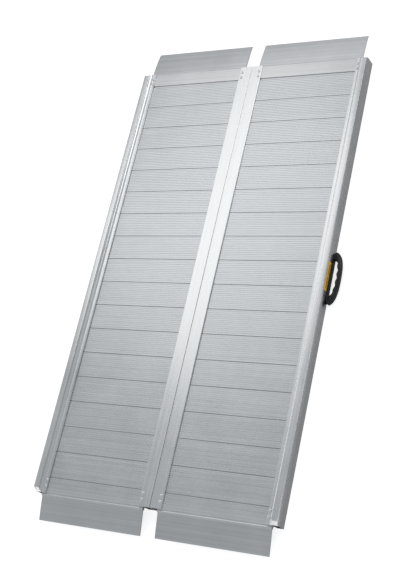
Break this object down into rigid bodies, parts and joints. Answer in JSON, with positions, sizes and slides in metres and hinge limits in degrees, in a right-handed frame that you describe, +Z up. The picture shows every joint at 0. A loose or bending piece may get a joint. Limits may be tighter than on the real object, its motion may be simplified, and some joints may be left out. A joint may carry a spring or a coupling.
{
  "type": "portable wheelchair ramp",
  "caption": "Folding aluminium wheelchair ramp: ribbed decks between rails on a long hinge, with kerbs, lips at foot and head, and a carrying handle.",
  "frame": {"origin": "centre of the whole ramp's box on the floor plane, under the rubber pads", "axes": "+X across the ramp to the handle's side, +Y along the ramp from the foot lip to the head lip, +Z up"},
  "size_m": [0.792, 1.541, 0.0558],
  "materials": {
    "rail_aluminium": "drawn mill finish with long streaks",
    "deck_aluminium": "satin mill finish, ridged",
    "lip_aluminium": "brushed across the ramp",
    "fastener_steel": "plated, bright",
    "grip_plastic": "moulded, semi gloss",
    "pad_rubber": "matt",
    "label_film": "printed film, no lettering"
  },
  "bodies": {
    "left_panel": {"left_outer_rail": "rail_aluminium", "left_center_rail": "rail_aluminium", "left_front_bar": "deck_aluminium", "left_top_plate": "lip_aluminium", "left_rail_screws": "fastener_steel", "left_pads": "pad_rubber", "left_plank_01": "deck_aluminium", "left_plank_02": "deck_aluminium", "left_plank_03": "deck_aluminium", "left_plank_04": "deck_aluminium", "left_plank_05": "deck_aluminium", "left_plank_06": "deck_aluminium", "left_plank_07": "deck_aluminium", "left_plank_08": "deck_aluminium", "left_plank_09": "deck_aluminium", "left_plank_10": "deck_aluminium", "left_plank_11": "deck_aluminium", "left_plank_12": "deck_aluminium", "left_plank_13": "deck_aluminium", "left_plank_14": "deck_aluminium", "left_plank_15": "deck_aluminium", "left_plank_16": "deck_aluminium", "left_plank_17": "deck_aluminium", "hinge_pin": "fastener_steel"},
    "right_panel": {"right_outer_rail": "rail_aluminium", "right_center_rail": "rail_aluminium", "right_front_bar": "deck_aluminium", "right_top_plate": "lip_aluminium", "right_rail_screws": "fastener_steel", "right_pads": "pad_rubber", "right_plank_01": "deck_aluminium", "right_plank_02": "deck_aluminium", "right_plank_03": "deck_aluminium", "right_plank_04": "deck_aluminium", "right_plank_05": "deck_aluminium", "right_plank_06": "deck_aluminium", "right_plank_07": "deck_aluminium", "right_plank_08": "deck_aluminium", "right_plank_09": "deck_aluminium", "right_plank_10": "deck_aluminium", "right_plank_11": "deck_aluminium", "right_plank_12": "deck_aluminium", "right_plank_13": "deck_aluminium", "right_plank_14": "deck_aluminium", "right_plank_15": "deck_aluminium", "right_plank_16": "deck_aluminium", "right_plank_17": "deck_aluminium", "handle": "grip_plastic", "handle_bolts": "fastener_steel", "label": "label_film"},
    "left_lip": {"left_bottom_lip": "lip_aluminium"},
    "right_lip": {"right_bottom_lip": "lip_aluminium"}
  },
  "joints": [
    {"name": "fold", "type": "hinge", "parent": "left_panel", "child": "right_panel", "pos_m": [-0.015, -0.0055, 0.0049], "axis": [0, 1, 0], "range_deg": [0, 178]},
    {"name": "left_lip_swing", "type": "hinge", "parent": "left_panel", "child": "left_lip", "pos_m": [-0.207, -0.7005, 0.032], "axis": [1, 0, 0], "range_deg": [-20, 8]},
    {"name": "right_lip_swing", "type": "hinge", "parent": "right_panel", "child": "right_lip", "pos_m": [0.177, -0.7005, 0.032], "axis": [1, 0, 0], "range_deg": [-20, 8]}
  ]
}
